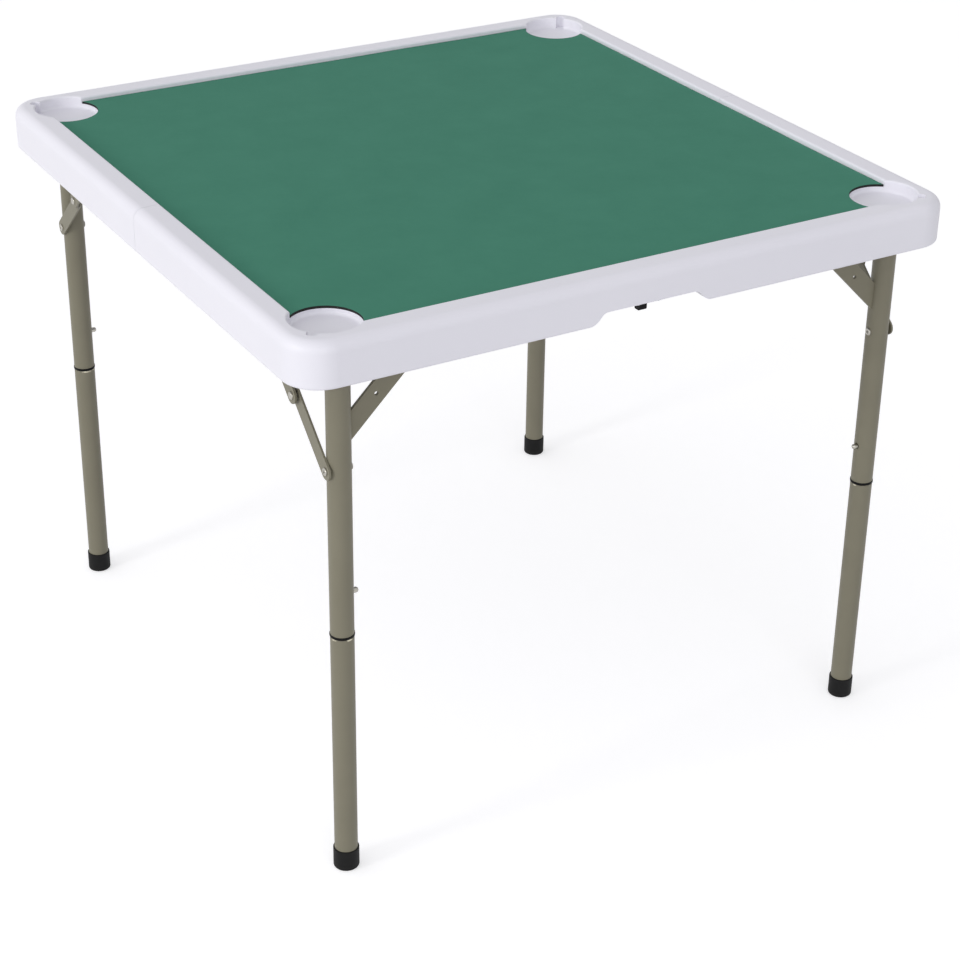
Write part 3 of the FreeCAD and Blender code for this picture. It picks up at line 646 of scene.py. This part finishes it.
@dataclass
class Brace:
    """Two flat links of one corner and the rivet at their knuckle."""

    corner: str

    def build(self, nodes: dict[str, bpy.types.Object]) -> list[bpy.types.Object]:
        """Dress the links and the knuckle rivet.

        Args:
            nodes: CAD nodes by name.

        Returns:
            An empty list.
        """
        dress(nodes, f"{self.corner}_lower_link", POWDER_COAT)
        dress(nodes, f"{self.corner}_upper_link", POWDER_COAT)
        dress(nodes, f"{self.corner}_knuckle_rivet", RIVET_STEEL)
        return []


@dataclass
class TopHalf:
    """Moulded half of one end with the fittings that are screwed to it."""

    end: str
    steel: tuple[str, ...] = ("hinge_leaves", "crossbar_saddles", "brace_brackets", "screws")

    def build(self, nodes: dict[str, bpy.types.Object]) -> list[bpy.types.Object]:
        """Dress the moulding and its fittings and make the bracket rivets.

        Args:
            nodes: CAD nodes by name.

        Returns:
            New pieces.
        """
        dress(nodes, f"{self.end}_top_half", POLYETHYLENE)
        for piece in self.steel:
            dress(nodes, f"{self.end}_{piece}", ZINC_PLATE)
        return [RivetSet(f"{self.end}_bracket_rivets", f"{self.end}_half").build()]


@dataclass
class CarryFittings:
    """Latch, handle and hinge pins."""

    finishes: dict[str, Finish] = field(default_factory=lambda: {
        "latch_base": NYLON_BLACK, "latch_hook": NYLON_BLACK, "latch_pin": ZINC_PLATE,
        "handle_base": POLYPROPYLENE_BLACK, "carrying_handle": POLYPROPYLENE_BLACK, "handle_pins": ZINC_PLATE,
        "hinge_pins": ZINC_PLATE})

    def build(self, nodes: dict[str, bpy.types.Object]) -> list[bpy.types.Object]:
        """Dress the fittings; they need no new piece.

        Args:
            nodes: CAD nodes by name.

        Returns:
            An empty list.
        """
        for name, finish in self.finishes.items():
            dress(nodes, name, finish)
        return []


@dataclass(frozen=True)
class SoftLamp:
    """Square area lamp: where it hangs, its side, its power in watts and its sRGB hex colour."""

    name: str
    place: tuple[float, float, float]
    side: float
    watts: float
    colour: str

    def hang(self, aim: tuple[float, float, float]) -> None:
        """Hang the lamp in the scene so that it faces a point.

        Args:
            aim: Point that it faces.
        """
        data = bpy.data.lights.new(self.name, "AREA")
        data.size, data.energy, data.color = self.side, self.watts, linear(self.colour)[:3]
        lamp = bpy.data.objects.new(self.name, data)
        bpy.context.scene.collection.objects.link(lamp)
        away = Vector(self.place) - Vector(aim)
        lamp.matrix_world = Matrix.Translation(self.place) @ away.to_track_quat("Z", "Y").to_matrix().to_4x4()


# Key at the left, whose shadows run off to the right, and a wide cool fill in front.
LAMPS = (SoftLamp("key_left", (-5.2, -0.5, 1.9), 1.0, 62.0, "#fffefb"),
         SoftLamp("fill_front", (-1.0, -5.0, 2.0), 3.0, 46.0, "#fbfbff"))


@dataclass
class Studio:
    """Pale floor, even light with a soft key from the left, and the photo's camera."""

    eye: tuple[float, float, float] = (-1.32984, -2.31116, 1.69812)
    tilt: float = 1.0909
    pan: float = -0.5385
    roll: float = 0.0160
    lens_mm: float = 83.64
    sensor_mm: float = 36.0
    shift: tuple[float, float] = (-0.0085, -0.05)
    sight: float = 100.0
    sky: float = 0.68
    sky_lean: float = 0.6
    sky_colour: str = "#fbfbff"
    lamp_aim: tuple[float, float, float] = (0.0, 0.0, 0.6)
    floor_reach: float = 30.0
    floor_colour: str = "#dedede"
    floor_own: float = 0.50

    def camera(self) -> None:
        """Stand the camera where the photo was taken from."""
        data = bpy.data.cameras.new("view")
        data.lens, data.sensor_width = self.lens_mm, self.sensor_mm
        data.shift_x, data.shift_y = self.shift
        data.clip_end = self.sight
        view = bpy.data.objects.new("view", data)
        bpy.context.scene.collection.objects.link(view)
        turns = [Matrix.Rotation(angle, 4, axis)
                 for angle, axis in ((self.pan, "Z"), (self.tilt, "X"), (self.roll, "Z"))]
        view.matrix_world = Matrix.Translation(self.eye) @ turns[0] @ turns[1] @ turns[2]
        bpy.context.scene.camera = view

    def seen(self, tree: bpy.types.NodeTree) -> bpy.types.NodeSocket:
        """One for rays from the camera, a mirror or clear matter, and nothing for light's own paths.

        Args:
            tree: Node tree of the world or of the floor.

        Returns:
            Output that is 1 or 0.
        """
        path = add(tree, "ShaderNodeLightPath")
        direct = add(tree, "ShaderNodeMath", {"operation": "MAXIMUM"},
                     {0: path.outputs["Is Camera Ray"], 1: path.outputs["Is Glossy Ray"]})
        both = add(tree, "ShaderNodeMath", {"operation": "MAXIMUM"},
                   {0: direct.outputs[0], 1: path.outputs["Is Transmission Ray"]})
        return both.outputs[0]

    def world(self) -> None:
        """Sky that lights softly, more from the left than from the right, and shows as plain white."""
        world = bpy.data.worlds.new("even_sky")
        bpy.context.scene.world = world
        world.use_nodes = True
        tree = world.node_tree
        tree.nodes.clear()
        seen = self.seen(tree)
        way = add(tree, "ShaderNodeTexCoord").outputs["Generated"]
        aim = add(tree, "ShaderNodeSeparateXYZ", {}, {"Vector": way})
        slope = -self.sky * self.sky_lean
        lean = add(tree, "ShaderNodeMath", {"operation": "MULTIPLY_ADD", 1: slope, 2: self.sky},
                   {0: aim.outputs["X"]})
        light = add(tree, "ShaderNodeBackground", {"Color": linear(self.sky_colour)},
                    {"Strength": lean.outputs[0]})
        white = add(tree, "ShaderNodeBackground", {"Color": linear(WHITE), "Strength": 1.0})
        mix = add(tree, "ShaderNodeMixShader", {}, {0: seen, 1: light.outputs[0], 2: white.outputs[0]})
        add(tree, "ShaderNodeOutputWorld", {}, {"Surface": mix.outputs[0]})

    def floor(self) -> None:
        """Wide pale floor; a share of its white is its own, so that the shadows stay soft and faint."""
        corner = self.floor_reach * np.array([[-1, -1, 0], [1, -1, 0], [1, 1, 0], [-1, 1, 0]])
        mesh = bpy.data.meshes.new("pale_floor")
        mesh.from_pydata(corner.tolist(), [], [[0, 1, 2, 3]])
        made = bpy.data.materials.new("pale_floor_paper")
        made.use_nodes = True
        tree = made.node_tree
        tree.nodes.clear()
        paper = add(tree, "ShaderNodeBsdfDiffuse", {"Color": linear(self.floor_colour)})
        share = add(tree, "ShaderNodeMath", {"operation": "MULTIPLY", 1: self.floor_own},
                    {0: self.seen(tree)})
        own = add(tree, "ShaderNodeEmission", {"Color": linear(WHITE)}, {"Strength": share.outputs[0]})
        both = add(tree, "ShaderNodeAddShader", {}, {0: paper.outputs[0], 1: own.outputs[0]})
        add(tree, "ShaderNodeOutputMaterial", {}, {"Surface": both.outputs[0]})
        mesh.materials.append(made)
        floor = bpy.data.objects.new("pale_floor", mesh)
        bpy.context.scene.collection.objects.link(floor)

    def build(self) -> None:
        """Set up the whole studio."""
        bpy.context.scene.view_settings.view_transform = "Standard"
        self.camera()
        self.world()
        for lamp in LAMPS:
            lamp.hang(self.lamp_aim)
        self.floor()


def main() -> None:
    """Load the frame, build each sub-assembly in order and log the face count of each new piece."""
    logging.basicConfig(level=logging.INFO, format="%(message)s")
    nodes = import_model()["nodes"]
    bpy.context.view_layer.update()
    Studio().build()
    parts: list[TopHalf | LegFrame | PlugLeg | Brace | CarryFittings] = []
    parts += [TopHalf(end) for end in ENDS] + [LegFrame(end) for end in ENDS]
    parts += [PlugLeg(corner) for corner in CORNERS] + [Brace(corner) for corner in CORNERS]
    parts += [CarryFittings()]
    made = [piece for part in parts for piece in part.build(nodes)]
    made.append(PlayingMat().build())
    for piece in made:
        LOG.info("%s: %d faces", piece.name, len(piece.data.polygons))


if __name__ == "__main__":
    main()
